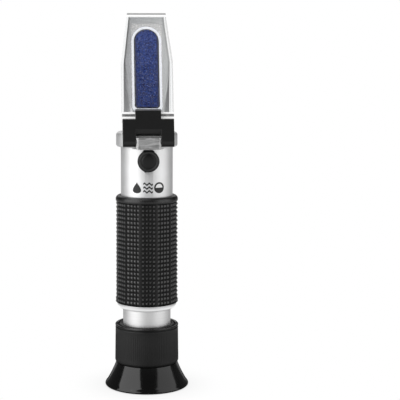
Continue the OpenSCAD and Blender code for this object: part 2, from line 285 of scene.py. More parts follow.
def blasted_aluminium():
    """Matt bead-blasted aluminium of the measuring face, with painted shade just inside its outline, where
    the plate's walls close over it.
    """
    s = Shader("blasted_aluminium", Metallic=1.0)
    grain = s.noise(2.6, 4, 0.7)
    cloud = s.noise(0.2, 3)
    tone = s.mix(s.remap(cloud, 0.35, 0.65), grey(0.72, (0.99, 0.99, 1.02)), grey(0.82, (0.99, 0.99, 1.02)))
    rough = s.mix(s.remap(grain, 0.35, 0.6), grey(0.58), tone)
    across, along = s.on_face()
    uneven = s.mix(s.remap(across, -7, 11), rough, grey(0.9))
    from_axis = s.hypot(across, s.math("SUBTRACT", s.split(s.scaled())[1], NOSE_BACK))
    taper_start = 2.5
    narrowing = s.math("MULTIPLY", s.math("SUBTRACT", along, taper_start), NOSE_TAPER)
    taper = s.math("SUBTRACT", NOSE_HALF, narrowing)
    to_side = s.math("SUBTRACT", s.math("MINIMUM", taper, NOSE_HALF), s.math("ABSOLUTE", across))
    inset = s.math("MINIMUM", to_side, s.math("SUBTRACT", NOSE_HALF, from_axis))
    # Painted shade: darker just inside the nose's outline, more on the left, and fading towards the hinge
    # end.
    painted_shade = s.math("MULTIPLY", s.remap(inset, 0.2, 0.9, 1.0, 0.0), s.remap(across, -9, 9, 1.0, 0.4))
    painted_shade = s.math("MULTIPLY", painted_shade, s.remap(along, -10, 0, 0.1, 1.0))
    s.set("Base_Color", s.mix(painted_shade, uneven, grey(0.24)))
    s.set("Roughness", s.remap(grain, 0.3, 0.7, 0.5, 0.62))
    s.bump(grain, 0.012)
    return s.mat


def turned_aluminium():
    """Turned aluminium: fine rings round the axis."""
    s = Shader("turned_aluminium", Metallic=1.0)
    rings = s.noise(1.0, 4, 0.7, (0.04, 0.04, 7))
    s.set("Base_Color", s.mix(s.remap(rings, 0.35, 0.65), grey(0.84), grey(0.95)))
    s.set("Roughness", s.remap(rings, 0.3, 0.7, 0.36, 0.48))
    s.bump(rings, 0.004)
    return s.mat


def black_anodised():
    """Dull black metal of the inner pieces."""
    s = Shader("black_anodised", Metallic=0.6)
    grain = s.noise(5, 3)
    s.set("Base_Color", s.mix(grain, grey(0.018), grey(0.03)))
    s.set("Roughness", s.remap(grain, 0.3, 0.7, 0.42, 0.55))
    return s.mat


def metal(name, colour, rough):
    """Plain metal with a slight unevenness."""
    s = Shader(name, Metallic=1.0)
    grain = s.noise(4, 4)
    s.set("Base_Color", s.mix(grain, colour, tuple(0.85 * c for c in colour)))
    s.set("Roughness", s.remap(grain, 0.3, 0.7, rough - 0.06, rough + 0.06))
    return s.mat


def rubber(name, shade, rough, specular):
    """Moulded rubber: fine grain and a trace of dust in places."""
    s = Shader(name)
    fine = s.noise(4, 3, 0.6)
    dust = s.noise(0.25, 4, 0.65)
    clean = s.mix(fine, grey(shade), grey(shade * 1.4))
    s.set("Base_Color", s.mix(s.remap(dust, 0.5, 0.8, 0, 0.3), clean, grey(shade * 3)))
    s.set("Roughness", s.remap(fine, 0.3, 0.7, rough - 0.05, rough + 0.07))
    s.set("Specular_IOR_Level", specular)
    s.bump(fine, 0.01)
    return s.mat


def cap_rubber():
    """The plug's rubber, with a ring painted paler where its edge rolls over: a painted highlight, broken up
    by patches.
    """
    s = Shader("cap_rubber", Roughness=0.34, Specular_IOR_Level=0.34)
    low, high = box_mm("screw_cap")
    disc = high.x
    x, _, z = s.split(s.scaled())
    from_middle = s.hypot(x, s.math("SUBTRACT", z, low.z + disc))
    off_ring = s.math("ABSOLUTE", s.math("SUBTRACT", from_middle, 0.82 * disc))
    patchy = s.remap(s.noise(0.6, 4), 0.35, 0.6, 0.5, 1.0)
    # Painted highlight: a paler, patchy ring where the edge rolls over.
    ring = s.math("MULTIPLY", s.remap(off_ring, 0.2, 0.65, 1.0, 0.0), patchy)
    s.set("Base_Color", s.mix(ring, grey(0.0025), grey(0.035)))
    s.bump(s.noise(4, 3, 0.6), 0.01)
    return s.mat


def stud_rubber():
    """The grip's studded band: studs paler on top, with painted shade making the grooves between them dark
    and dull. The front and back panels are worn more evenly than the sides."""
    s = Shader("stud_rubber", IOR=1.7)
    raised = s.add("ShaderNodeAttribute", attribute_name="raised").outputs["Fac"]
    # Painted shade: 0 in the grooves and 1 on the stud tops; it darkens the grooves' colour and dims their
    # shine.
    free_of_groove_shade = s.math("POWER", raised, 1.3)
    dust = s.remap(s.noise(0.5, 4, 0.65), 0.35, 0.65, 0.5, 1.2)
    s.set("Base_Color", s.mix(s.math("MULTIPLY", free_of_groove_shade, dust), grey(0.002), grey(0.010)))
    s.set("Roughness", s.remap(s.noise(4, 3, 0.6), 0.3, 0.7, 0.25, 0.38))
    across, _ = s.on_face()
    off_middle = s.math("ABSOLUTE", across)
    groove = s.remap(off_middle, 2.5, 5.5, 0.25, 0.12)
    shine = s.math("MULTIPLY", free_of_groove_shade, s.remap(off_middle, 2.5, 5.5, 0.38, 1.15))
    s.set("Specular_IOR_Level", s.math("ADD", groove, shine))
    return s.mat


def gloss_black():
    """Polished black plastic with a barely uneven surface."""
    s = Shader("gloss_black")
    cloud = s.noise(0.08, 2)
    s.set("Base_Color", grey(0.0015))
    s.set("Roughness", s.remap(cloud, 0.35, 0.65, 0.1, 0.15))
    s.set("Specular_IOR_Level", 0.55)
    s.bump(s.noise(1.4, 2), 0.002)
    return s.mat


def black_plastic():
    """Moulded hinge plastic, with a painted highlight along its edges, and painted paler on upward faces:
    partly dust, partly painted light from above.
    """
    s = Shader("black_plastic")
    fine = s.noise(4, 3, 0.6)
    # Painted highlight: convex edges are painted paler.
    clean = s.painted_edge_highlight(grey(0.004), grey(0.03), 0.3, 0.7)
    # Upward faces painted paler: partly dust, partly painted light from above.
    s.set("Base_Color", s.mix(s.remap(s.normal()[2], 0.8, 0.93, 0.0, 0.9), clean, grey(0.11)))
    s.set("Roughness", s.remap(fine, 0.3, 0.7, 0.3, 0.42))
    s.set("Specular_IOR_Level", 0.45)
    s.bump(fine, 0.005)
    return s.mat


def white_sealant():
    """White sealing ring, which glows a little: painted light that brightens it."""
    s = Shader("white_sealant")
    cloud = s.noise(0.9, 3)
    s.set("Base_Color", s.mix(cloud, (0.90, 0.92, 0.98), (0.96, 0.97, 1.0)))
    s.set("Roughness", 0.3)
    # Painted light: a faint glow that brightens the ring.
    s.set("Emission_Color", (0.9, 0.93, 1.0))
    s.set("Emission_Strength", 0.21)
    s.bump(cloud, 0.04)
    return s.mat


def blue_prism():
    """Polished blue glass, mottled by what is under its surface and darker towards its sides."""
    s = Shader("blue_prism")
    across, along = s.on_face()
    cloud = s.noise(0.35, 4, 0.6)
    speck = s.noise(2.0, 4, 0.8)
    deep = s.mix(s.remap(speck, 0.45, 0.55), (0.000, 0.001, 0.045), (0.012, 0.046, 0.25))
    pale = s.mix(s.remap(speck, 0.45, 0.55), (0.001, 0.007, 0.090), (0.052, 0.104, 0.41))
    paler = s.math("ADD", s.remap(along, -14, 16, -0.25, 0.8), s.remap(cloud, 0.3, 0.7, -0.4, 0.4))
    body = s.mix(paler, deep, pale)
    bright = s.mix(s.remap(s.noise(1.9, 2, 0.8), 0.60, 0.72), body, (0.20, 0.24, 0.50))
    s.set("Base_Color", s.mix(s.remap(s.math("ABSOLUTE", across), 3.9, 5.3), bright, (0.022, 0.024, 0.075)))
    s.set("Roughness", 0.12)
    s.set("Specular_IOR_Level", 0.3)
    s.bump(speck, 0.006)
    return s.mat


def blue_prism_edge():
    """The prism's narrow bevel, which looks nearly black."""
    s = Shader("blue_prism_edge")
    s.set("Base_Color", s.mix(s.noise(1.2), (0.006, 0.007, 0.022), (0.013, 0.014, 0.04)))
    s.set("Roughness", 0.2)
    return s.mat


def see_through(s, tint):
    """Lets light pass the finished surface of s unbent, so that what lies under it is lit."""
    path = s.add("ShaderNodeLightPath")
    lighting = s.math("MAXIMUM", path.outputs["Is Shadow Ray"], path.outputs["Is Diffuse Ray"])
    s.finish(lighting, s.bsdf.outputs[0], s.clear(tint))


def clear_acrylic():
    """Clear plastic: it reflects by its angle and lets the rest through unbent, slightly dimmed."""
    s = Shader("clear_acrylic")
    glance = s.add("ShaderNodeFresnel")
    glance.inputs["IOR"].default_value = 1.49
    entering = s.math("SUBTRACT", 1.0, s.add("ShaderNodeNewGeometry").outputs["Backfacing"])
    mirror = s.add("ShaderNodeBsdfGlossy")
    s.link(s.remap(s.noise(0.6, 4), 0.4, 0.8, 0.02, 0.06), mirror.inputs["Roughness"])
    s.finish(s.math("MULTIPLY", glance.outputs[0], entering), s.clear((0.975, 0.98, 0.98)), mirror.outputs[0])
    return s.mat


def acrylic_side():
    """Moulded side walls of the clear plate, which show as an even pale haze."""
    s = Shader("acrylic_side", Roughness=0.25)
    s.set("Base_Color", s.mix(s.noise(0.7, 3), grey(0.66), grey(0.74)))
    s.finish(0.35, s.clear(), s.bsdf.outputs[0])
    return s.mat


def lit_acrylic():
    """Acrylic where its moulded steps gather the light, painted as a pale surface that glows."""
    s = Shader("lit_acrylic", Roughness=0.2)
    cloud = s.noise(0.8, 3)
    s.set("Base_Color", s.mix(cloud, grey(0.9), grey(0.96)))
    # Painted light: the bands glow, in place of the light the steps gather.
    s.set("Emission_Color", s.mix(cloud, grey(0.85), grey(1.0)))
    s.set("Emission_Strength", 0.3)
    return s.mat


def cut_acrylic(name, dark, pale):
    """Acrylic seen through its cut end: grey and streaked."""
    s = Shader(name, Roughness=0.35)
    streak = s.noise(0.6, 4, 0.7, (1, 4, 4))
    s.set("Base_Color", s.mix(s.remap(streak, 0.4, 0.6), grey(dark), grey(pale)))
    return s.mat


def optical_glass():
    """Coated lens glass."""
    s = Shader("optical_glass", Transmission_Weight=1.0, IOR=1.52, Roughness=0.0)
    s.set("Base_Color", (0.97, 0.985, 0.98))
    s.set("Coat_Weight", 0.5)
    s.set("Coat_Tint", (0.75, 0.72, 1.0))
    see_through(s, (0.96, 0.97, 0.97))
    return s.mat


def frosted_pad():
    """The ground underside of the plate: pale specks, nearly clear over the prism and its seal."""
    s = Shader("frosted_pad")
    across, along = s.on_face()
    past_top = s.math("MAXIMUM", s.math("SUBTRACT", along, PRISM_TOP - PRISM_HALF), 0.0)
    from_middle = s.hypot(across, past_top)
    outside = s.remap(from_middle, PRISM_HALF + 0.9, PRISM_HALF + 1.3, 0.05, 1.0)
    speck = s.remap(s.noise(1.1, 5, 0.8), 0.40, 0.60, 0.05, 0.8)
    s.set("Base_Color", (0.93, 0.92, 0.91))
    s.set("Roughness", 0.5)
    s.finish(s.math("MULTIPLY", speck, outside), s.clear(), s.bsdf.outputs[0])
    return s.mat


def print_ink():
    """Flat black ink."""
    s = Shader("print_ink")
    s.set("Base_Color", s.mix(s.noise(3), grey(0.004), grey(0.01)))
    s.set("Roughness", 0.4)
    return s.mat


MATS = {
    "satin_aluminium": satin_aluminium(),
    "brushed_aluminium": brushed_aluminium(),
    "blasted_aluminium": blasted_aluminium(),
    "turned_aluminium": turned_aluminium(),
    "black_anodised": black_anodised(),
    "bright_edge": metal("bright_edge", (0.93, 0.93, 0.93), 0.3),
    "nose_wall": metal("nose_wall", (0.74, 0.74, 0.75), 0.42),
    "steel": metal("steel", (0.60, 0.60, 0.61), 0.3),
    "black_steel": metal("black_steel", (0.05, 0.05, 0.055), 0.4),
    "brass": metal("brass", (0.72, 0.53, 0.25), 0.32),
    "grip_rubber": rubber("grip_rubber", 0.002, 0.28, 0.6),
    "cap_rubber": cap_rubber(),
    "stud_rubber": stud_rubber(),
    "sleeve_rubber": rubber("sleeve_rubber", 0.005, 0.42, 0.4),
    "seal_rubber": rubber("seal_rubber", 0.002, 0.34, 0.34),
    "gloss_black": gloss_black(),
    "black_plastic": black_plastic(),
    "white_sealant": white_sealant(),
    "blue_prism": blue_prism(),
    "blue_prism_edge": blue_prism_edge(),
    "clear_acrylic": clear_acrylic(),
    "acrylic_side": acrylic_side(),
    "lit_acrylic": lit_acrylic(),
    "cut_acrylic": cut_acrylic("cut_acrylic", 0.13, 0.36),
    "cut_tip": cut_acrylic("cut_tip", 0.45, 0.53),
    "optical_glass": optical_glass(),
    "frosted_pad": frosted_pad(),
    "print_ink": print_ink(),
}

# ---------------------------------------------------------------- mesh helpers


def make_object(name, verts, faces, smooth=True):
    """A mesh object from vertices in millimetres."""
    mesh = bpy.data.meshes.new(name)
    mesh.from_pydata([tuple(c * MM for c in v) for v in verts], [], faces)
    mesh.validate()
    bm = bmesh.new()
    bm.from_mesh(mesh)
    bmesh.ops.recalc_face_normals(bm, faces=bm.faces)
    bm.to_mesh(mesh)
    bm.free()
    if smooth:
        mesh.shade_smooth()
    obj = bpy.data.objects.new(name, mesh)
    bpy.context.scene.collection.objects.link(obj)
    return obj


def give_materials(obj, *names):
    """Fills the object's material slots, and returns the slot number of each material."""
    obj.data.materials.clear()
    for name in names:
        obj.data.materials.append(MATS[name])
    return {name: number for number, name in enumerate(names)}


def finish_piece(obj, material, body, replaces=(), sharp=None):
    """Gives a piece its material and body, sharp edges when asked, and hides the CAD nodes that it stands
    for.
    """
    if not obj.data.materials:
        obj.data.materials.append(MATS[material])
    if sharp is not None:
        obj.data.set_sharp_from_angle(angle=math.radians(sharp))
    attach(obj, body)
    if replaces:
        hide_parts(*replaces)
    return obj


def arc(centre, radius, start, end, steps=6):
    """Points (r, z) of an arc, with its angles in degrees."""
    points = []
    for i in range(steps + 1):
        a = math.radians(start + (end - start) * i / steps)
        points.append((centre[0] + radius * math.cos(a), centre[1] + radius * math.sin(a)))
    return points


def skin(rings, closed=True, split=None):
    """Vertices and faces that join rings of equal length. A closed skin joins its last ring to its
    first; an open one has its end rings filled. split(i, j) says which way the quad after point j of
    ring i is cut, or None to leave it whole."""
    count = len(rings[0])
    verts = [v for ring in rings for v in ring]
    faces = []
    for i in range(len(rings) if closed else len(rings) - 1):
        a0 = i * count
        b0 = ((i + 1) % len(rings)) * count
        for j in range(count):
            k = (j + 1) % count
            quad = (a0 + j, a0 + k, b0 + k, b0 + j)
            way = split(i, j) if split else None
            if way is None:
                faces.append(quad)
            elif way:
                faces += [(quad[0], quad[1], quad[2]), (quad[0], quad[2], quad[3])]
            else:
                faces += [(quad[0], quad[1], quad[3]), (quad[1], quad[2], quad[3])]
    if not closed:
        faces += [tuple(range(count)), tuple(range(len(verts) - count, len(verts)))]
    return verts, faces


def lathe(name, profile, segments):
    """Turns a closed (r, z) profile round the Z axis."""
    rings = []
    for r, z in profile:
        rings.append([(r * math.cos(TAU * j / segments), r * math.sin(TAU * j / segments), z)
                      for j in range(segments)])
    return make_object(name, *skin(rings))


def refined(node, bevel_mm, angle=30, segments=2):
    """A copy of a CAD node's mesh with clean flat faces and softened edges."""
    source = frame["nodes"][node]
    bm = bmesh.new()
    bm.from_mesh(source.data)
    bmesh.ops.remove_doubles(bm, verts=bm.verts, dist=0.0005 * MM)
    bmesh.ops.dissolve_limit(bm, angle_limit=math.radians(0.5), verts=bm.verts, edges=bm.edges)
    mesh = bpy.data.meshes.new(node + "_finish")
    bm.to_mesh(mesh)
    bm.free()
    mesh.shade_smooth()
    mesh.set_sharp_from_angle(angle=math.radians(angle))
    obj = bpy.data.objects.new(node + "_finish", mesh)
    bpy.context.scene.collection.objects.link(obj)
    if bevel_mm:
        soften = obj.modifiers.new("soft_edges", "BEVEL")
        soften.width = bevel_mm * MM
        soften.segments = segments
        soften.limit_method = "ANGLE"
        soften.angle_limit = math.radians(angle)
        soften.use_clamp_overlap = True
        soften.harden_normals = True
    return obj


def face_point(x, u, n):
    """Row-frame place of a point given across, along and out of the measuring face."""
    s, c = math.sin(FACE_ANGLE), math.cos(FACE_ANGLE)
    return (x, u * s - n * c, FACE_Z + u * c + n * s)


def to_face(v):
    """(x, u, n) on the measuring face for a row-frame point in millimetres."""
    s, c = math.sin(FACE_ANGLE), math.cos(FACE_ANGLE)
    dz = v[2] - FACE_Z
    return (v[0], v[1] * s + dz * c, dz * s - v[1] * c)


# ---------------------------------------------------------------- body of the instrument


def grip():
    """Rubber grip: twelve flat panels of small blunt pyramids, between a smooth lip and a plain foot."""
    low, high = box_mm("rubber_grip")
    outer = radius_mm("rubber_grip")
    panel_count, panel_columns, row_count = 12, 4, 24
    lip, foot, seam = 2.8, 0.35, 0.05
    stud, panel_out = 0.75, outer - 0.25
    valley = outer - stud
    pitch = (high.z - lip - low.z - foot) / row_count
    steps = ((0.0, 0.0), (0.06, 0.0), (0.30, 0.7), (0.50, 1.0), (0.70, 0.7), (0.94, 0.0))
    per = len(steps)
    column_width = (1 - 2 * seam) / panel_columns
    panel = [(-0.5, 0.0)]
    panel += [(seam + (c + u) * column_width - 0.5, h) for c in range(panel_columns) for u, h in steps]
    turn = TAU / panel_count
    columns = [(turn * p, turn * t, h) for p in range(panel_count) for t, h in panel]
    rings, raised = [], []

    def plain(r, z):
        """A smooth round ring."""
        rings.append([(r * math.cos(middle + a), r * math.sin(middle + a), z) for middle, a, _ in columns])
        raised.extend([0.0] * len(columns))

    def studded(z, row_height, swell):
        """A twelve-sided ring, raised where a row of studs crosses a column of them."""
        ring = []
        for middle, a, column_height in columns:
            h = min(row_height, column_height)
            r = (panel_out + swell - stud * (1 - h)) / math.cos(a)
            ring.append((r * math.cos(middle + a), r * math.sin(middle + a), z))
            raised.append(h)
        rings.append(ring)

    plain(TUBE_R, low.z)
    plain(outer - 0.1, low.z)
    plain(outer + 0.1, low.z + foot * 0.5)
    first = len(rings)
    for row in range(row_count):
        for v, height in steps:
            rows_up = row + v
            swell = 0.15 * (1 - rows_up / row_count) + 0.25 * max(0.0, 1 - rows_up / 1.5)
            studded(low.z + foot + rows_up * pitch, height, swell)
    last = len(rings)
    under_r, over_r, edge = 0.95, 1.75, 0.15
    profile = [(valley, high.z - lip), (valley, high.z - lip + 0.2)]
    profile += arc((outer - under_r, high.z - lip + 0.85), under_r, -50, 10, 5)
    profile += arc((outer - over_r, high.z - over_r), over_r, 12, 90, 7)
    profile += [(TUBE_R + edge, high.z), (TUBE_R, high.z - edge)]
    for r, z in profile:
        plain(r, z)

    def split(i, j):
        """Cuts each quad of a stud along the line from the stud's top to its corner."""
        place = j % len(panel)
        if place == 0 or not first <= i < last:
            return None
        return ((place - 1) % per < per / 2) == ((i - first) % per < per / 2)

    obj = make_object("grip", *skin(rings, split=split))
    obj.data.attributes.new("raised", "FLOAT", "POINT").data.foreach_set("value", raised)
    slots = give_materials(obj, "grip_rubber", "stud_rubber")
    for polygon in obj.data.polygons:
        place = polygon.center / MM
        if low.z < place.z < high.z - lip and place.xy.length > TUBE_R + 0.2:
            polygon.material_index = slots["stud_rubber"]
    return finish_piece(obj, "grip_rubber", "barrel", replaces=["rubber_grip"], sharp=24)


def sleeve():
    """Focus sleeve: fine ribs between a rounded foot and a rolled, glossy top rim round a low inner ring."""
    low, high = box_mm("focus_sleeve")
    outer = radius_mm("focus_sleeve")
    bore = radius_mm("eyepiece_barrel") + 0.05
    neck = radius_mm("neck_tube")
    depth, foot_r, bead_r, bead_width = 0.17, 1.1, 0.5, 1.4
    waves = (0.0, 0.55, 1.0, 0.55)
    count = 100 * len(waves)
    top = high.z + 0.35

    def ring(r, z, ribs=0.0):
        """A loop of points. ribs, from 0 to 1, says how deep the grooves between the ribs are."""
        loop = []
        for j in range(count):
            a = TAU * j / count
            rr = r - ribs * depth * waves[j % len(waves)]
            loop.append((rr * math.cos(a), rr * math.sin(a), z))
        return loop

    rings = [ring(bore, low.z), ring(outer - 0.95, low.z)]
    rings += [ring(r, z) for r, z in arc((outer - foot_r, low.z + foot_r), foot_r, -80, 0, 6)]
    rib_low, rib_high = low.z + 1.6, top - 2.0
    steps = 8
    for i in range(steps + 1):
        t = i / steps
        fade = min(1.0, steps * min(t, 1 - t))
        rings.append(ring(outer - 0.2 * t, rib_low + t * (rib_high - rib_low), fade))

    shoulder = arc((outer - 0.45, top - 1.6), 0.3, 0, 75, 3)
    groove = [(outer - 0.62, top - 1.2), (outer - 0.62, top - 1.05)]
    bead = arc((outer - bead_r - 0.1, top - 0.5), bead_r, -60, 90, 10)
    # From the bead down into a groove and up to the inner ring: distance in from the edge, and depth
    valley = [(1.15, 0.1), (1.35, 0.25), (1.45, 0.6), (1.55, 0.9)]
    valley += [(1.8, 0.9), (1.9, 0.5), (2.0, 0.2), (2.15, 0.08)]
    inner = [(outer - inset, top - drop) for inset, drop in valley]
    inner += [(neck + 0.7, top + 0.1), (neck + 0.5, top - 0.1), (neck + 0.4, top - 1.5), (bore, top - 1.6)]
    rings += [ring(r, z) for r, z in shoulder + groove + bead + inner]
    obj = make_object("focus_grip", *skin(rings))
    slots = give_materials(obj, "sleeve_rubber", "gloss_black")
    for polygon in obj.data.polygons:
        place = polygon.center / MM
        if place.z > top - 1.2 and place.xy.length > outer - bead_width:
            polygon.material_index = slots["gloss_black"]
    return finish_piece(obj, "sleeve_rubber", "eyepiece", replaces=["focus_sleeve"], sharp=50)


def eyecup():
    """Glossy conical eyecup with a thin rolled lip; its inside steps in to the eye lens."""
    low, high = box_mm("eyecup")
    rim = radius_mm("eyecup")
    cone_top = box_mm("focus_sleeve")[0].z - 0.05
    foot = box_mm("eyepiece_barrel")[0].z
    inside_r, socket, eye_hole, lip_r, hollow = 17.3, 11.0, 8.6, 0.6, 0.25
    cone_low_r, cone_top_r, lip_top = rim - 0.75, 13.75, low.z + 1.75
    profile = [(inside_r, low.z + 0.5), (inside_r + 0.3, low.z + 0.02), (rim - 0.65, low.z)]
    profile += arc((rim - lip_r, low.z + lip_r), lip_r, -90, 35, 8)
    profile += [(rim - 0.35, low.z + 1.35), (cone_low_r, lip_top)]
    steps = 8
    for i in range(1, steps + 1):
        t = i / steps
        r = cone_low_r + (cone_top_r - cone_low_r) * t
        profile.append((r - hollow * math.sin(math.pi * t), lip_top + (cone_top - lip_top) * t))
    profile += [(socket + 1.1, cone_top), (socket + 1.1, high.z), (socket, high.z), (socket, foot - 0.05),
                (eye_hole, foot - 0.05), (eye_hole, foot - 0.75), (eye_hole + 0.15, foot - 0.9),
                (11.2, foot - 0.95), (11.9, foot - 1.25)]
    obj = lathe("eye_cone", profile, 192)
    return finish_piece(obj, "gloss_black", "eyepiece", replaces=["eyecup"], sharp=32)


def mark():
    """Three printed symbols on the tube: a drop, a liquid's waves and a half-filled field of view."""
    centre_z = box_mm("rubber_grip")[1].z + 4.3
    half_height = 2.4
    ink_out, ink_in = TUBE_R + 0.03, TUBE_R - 0.045
    verts, faces = [], []

    def print_rows(rows, closed=False):
        """A thin layer of ink over rows of (s, z) points, with s measured round the tube."""
        loops = []
        for row in rows:
            loop = []
            for r, points in ((ink_out, row), (ink_in, row[::-1])):
                for s, z in points:
                    loop.append((r * math.sin(s / TUBE_R), -r * math.cos(s / TUBE_R), centre_z + z))
            loops.append(loop)
        more_verts, more_faces = skin(loops, closed)
        faces.extend(tuple(i + len(verts) for i in face) for face in more_faces)
        verts.extend(more_verts)

    def span(left, right, z):
        """A level row of points."""
        cells = 10
        return [(left + (right - left) * i / cells, z) for i in range(cells + 1)]

    def drop(middle, width):
        """A drop, pointed at its top."""
        rows = []
        steps = 24
        for i in range(steps + 1):
            t = math.pi * (0.04 + 0.955 * i / steps)
            half = width / 2 * 1.3 * math.sin(t) * math.sin(t / 2) ** 1.6
            rows.append(span(middle - half, middle + half, half_height * math.cos(t)))
        print_rows(rows)

    def waves(middle, width, thick):
        """Three wavy lines, one above another."""
        steps, swing = 32, 0.38
        for level in (-1, 0, 1):
            rows = []
            for i in range(steps + 1):
                t = i / steps
                z = level * (half_height - 0.75) + swing * math.sin(2 * TAU * t)
                x = middle + width * (t - 0.5)
                rows.append([(x, z - thick / 2), (x, z + thick / 2)])
            print_rows(rows)

    def view(middle, radius, line):
        """A circle with its lower half filled."""
        steps = 48
        rows = []
        for i in range(steps):
            c, s = math.cos(TAU * i / steps), math.sin(TAU * i / steps)
            rows.append([(middle + r * c, r * s) for r in (radius - line, radius)])
        print_rows(rows, closed=True)
        inside = radius - line + 0.02
        rows = []
        for x, z in arc((0, 0), inside, -88, 0, 12):
            rows.append(span(middle - x, middle + x, z))
        print_rows(rows)

    drop(-5.1, 4.3)
    waves(-0.1, 4.2, 0.72)
    view(4.95, half_height, 0.7)
    obj = make_object("printed_symbols", verts, faces, smooth=False)
    return finish_piece(obj, "print_ink", "barrel")


def cap():
    """Rubber plug: a shallow domed button with a rolled edge, a pull tab above it and a stem in the hole."""
    low, high = box_mm("screw_cap")
    front, disc, stem = low.y, high.x, 3.1
    z0 = low.z + disc
    tab_z, tab_half = high.z - z0, 2.1
    shoulder = math.radians(62)
    side = (disc * math.sin(shoulder), disc * math.cos(shoulder))
    nub, nub_at, nub_width = 0.4, math.radians(198), 0.07
    steps = 96

    def reach(a):
        """Distance from the middle to the edge, at angle a from straight up."""
        x, z = abs(math.sin(a)), math.cos(a)
        if abs((a + math.pi) % TAU - math.pi) > shoulder:
            return disc + nub * math.exp(-((a - nub_at) / nub_width) ** 2)
        dx, dz = side[0] - tab_half, side[1] - tab_z
        slope = (tab_half * dz - tab_z * dx) / (x * dz - z * dx)
        return max(disc, min(tab_z / z, slope))

    def ring(scale, y, round_off=0.0, on_tube=False):
        """A loop at the given share of the edge's reach. round_off turns its shape into a circle."""
        points = []
        for j in range(steps):
            a = TAU * j / steps
            r = scale * (reach(a) * (1 - round_off) + disc * round_off)
            x, z = r * math.sin(a), r * math.cos(a)
            points.append((x, -math.sqrt(TUBE_R ** 2 - x * x) - 0.02 if on_tube else y, z0 + z))
        return points

    # The front's profile: share of the reach, depth behind the front, and how round the loop is
    dome = [(0.02, 0.02, 1), (0.3, 0.05, 1), (0.5, 0.14, 1), (0.62, 0.3, 1)]
    groove = [(0.67, 0.5, 0.9), (0.70, 0.5, 0.8)]
    edge = [(0.75, 0.28, 0.6), (0.81, 0.2, 0.4), (0.87, 0.27, 0.2), (0.93, 0.46, 0.1), (0.98, 0.8, 0),
            (1.0, 1.2, 0), (1.0, 2.2, 0)]
    rings = [ring(scale, front + depth, round_off) for scale, depth, round_off in dome + groove + edge]
    inner = stem / disc
    rings += [ring(0.97, 0, 0, True), ring(0.85, 0, 1, True), ring(inner + 0.02, 0, 1, True)]
    screw_travel, clearance = 0.33, 0.12
    end = box_mm("calibration_screw")[0].y - screw_travel - clearance
    rings += [ring(inner, end - 0.3, 1), ring(inner - 0.04, end, 1), ring(0.02, end, 1)]
    obj = make_object("screw_plug", *skin(rings, closed=False))
    return finish_piece(obj, "cap_rubber", "cap", replaces=["screw_cap"], sharp=40)


def plate():
    """Clear daylight plate: a ground patch on its underside and steps that show as bands at its ends."""
    obj = refined("daylight_plate", 0.16, 25, 3)
    slots = give_materials(obj, "clear_acrylic", "frosted_pad", "lit_acrylic", "cut_acrylic", "cut_tip",
                           "acrylic_side")
    corners = [to_face(v.co / MM) for v in obj.data.vertices]
    tip = max(along for _, along, _ in corners)
    top = max(height for _, along, height in corners if along > 0)
    pad_height = 0.08
    rib = -21.3
    bands = ((rib - 2.4, rib - 1.2, "lit_acrylic"), (rib - 1.2, rib, "cut_acrylic"),
             (rib, rib + 0.95, "lit_acrylic"), (tip - 1.6, tip - 0.8, "lit_acrylic"),
             (tip - 0.8, tip, "cut_tip"))
    bm = bmesh.new()
    bm.from_mesh(obj.data)
    direction = Vector(face_point(0, 1, 0)) - Vector(face_point(0, 0, 0))
    for cut in sorted({end for band in bands for end in band[:2]}):
        bmesh.ops.bisect_plane(bm, geom=bm.verts[:] + bm.edges[:] + bm.faces[:], dist=0.001 * MM,
                               plane_co=Vector(face_point(0, cut, 0)) * MM, plane_no=direction)
    for face in bm.faces:
        _, along, height = to_face(face.calc_center_median() / MM)
        if abs(height - pad_height) < 0.02:
            face.material_index = slots["frosted_pad"]
        elif abs(face.normal.x) > 0.6:
            face.material_index = slots["acrylic_side"]
        for start, end, material in bands:
            if start < along < end and height > top - 0.3:
                face.material_index = slots[material]
    bm.to_mesh(obj.data)
    bm.free()
    return finish_piece(obj, "clear_acrylic", "flap", replaces=["daylight_plate"])


def prism():
    """Blue prism with a narrow dark bevel round its polished face."""
    obj = refined("prism", 0)
    slots = give_materials(obj, "blue_prism", "blue_prism_edge")
    bm = bmesh.new()
    bm.from_mesh(obj.data)
    on_plane = [f for f in bm.faces if abs(to_face(f.calc_center_median() / MM)[2]) < 0.05]
    polished = max(on_plane, key=lambda f: f.calc_area())
    made = bmesh.ops.bevel(bm, geom=list(polished.edges), offset=0.55 * MM, segments=2, affect="EDGES",
                           profile=0.5)
    for face in made["faces"]:
        face.material_index = slots["blue_prism_edge"]
    bm.to_mesh(obj.data)
    bm.free()
    return finish_piece(obj, "blue_prism", "barrel", replaces=["prism"])


def head():
    """Prism head: milled lug, satin collar and spigot, and a matt nose with bright edges."""
    obj = refined("prism_head", 0.16, 35)
    slots = give_materials(obj, "satin_aluminium", "brushed_aluminium", "blasted_aluminium", "bright_edge",
                           "nose_wall")
    obj.modifiers["soft_edges"].material = slots["bright_edge"]
    low, _ = box_mm("prism_head")
    collar_top = low.z + 22
    lug_back = low.y + 4.5
    for polygon in obj.data.polygons:
        place = polygon.center / MM
        if place.y < lug_back and place.z < collar_top:
            polygon.material_index = slots["brushed_aluminium"]
        elif place.z > collar_top:
            sloping = abs(polygon.normal.z) > 0.05
            polygon.material_index = slots["blasted_aluminium" if sloping else "nose_wall"]
    return finish_piece(obj, "satin_aluminium", "barrel", replaces=["prism_head"])


def spring():
    """Leaf spring behind the lens carriage, in steel on a mesh of its own; it is left in one shape."""
    obj = cad_finish("return_spring", "barrel", "steel", 0)
    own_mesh(obj)


def cad_finish(node, body, material, bevel_mm):
    """A CAD piece that needs only softer edges and its material."""
    obj = refined(node, bevel_mm)
    give_materials(obj, material)
    return finish_piece(obj, material, body, replaces=[node])


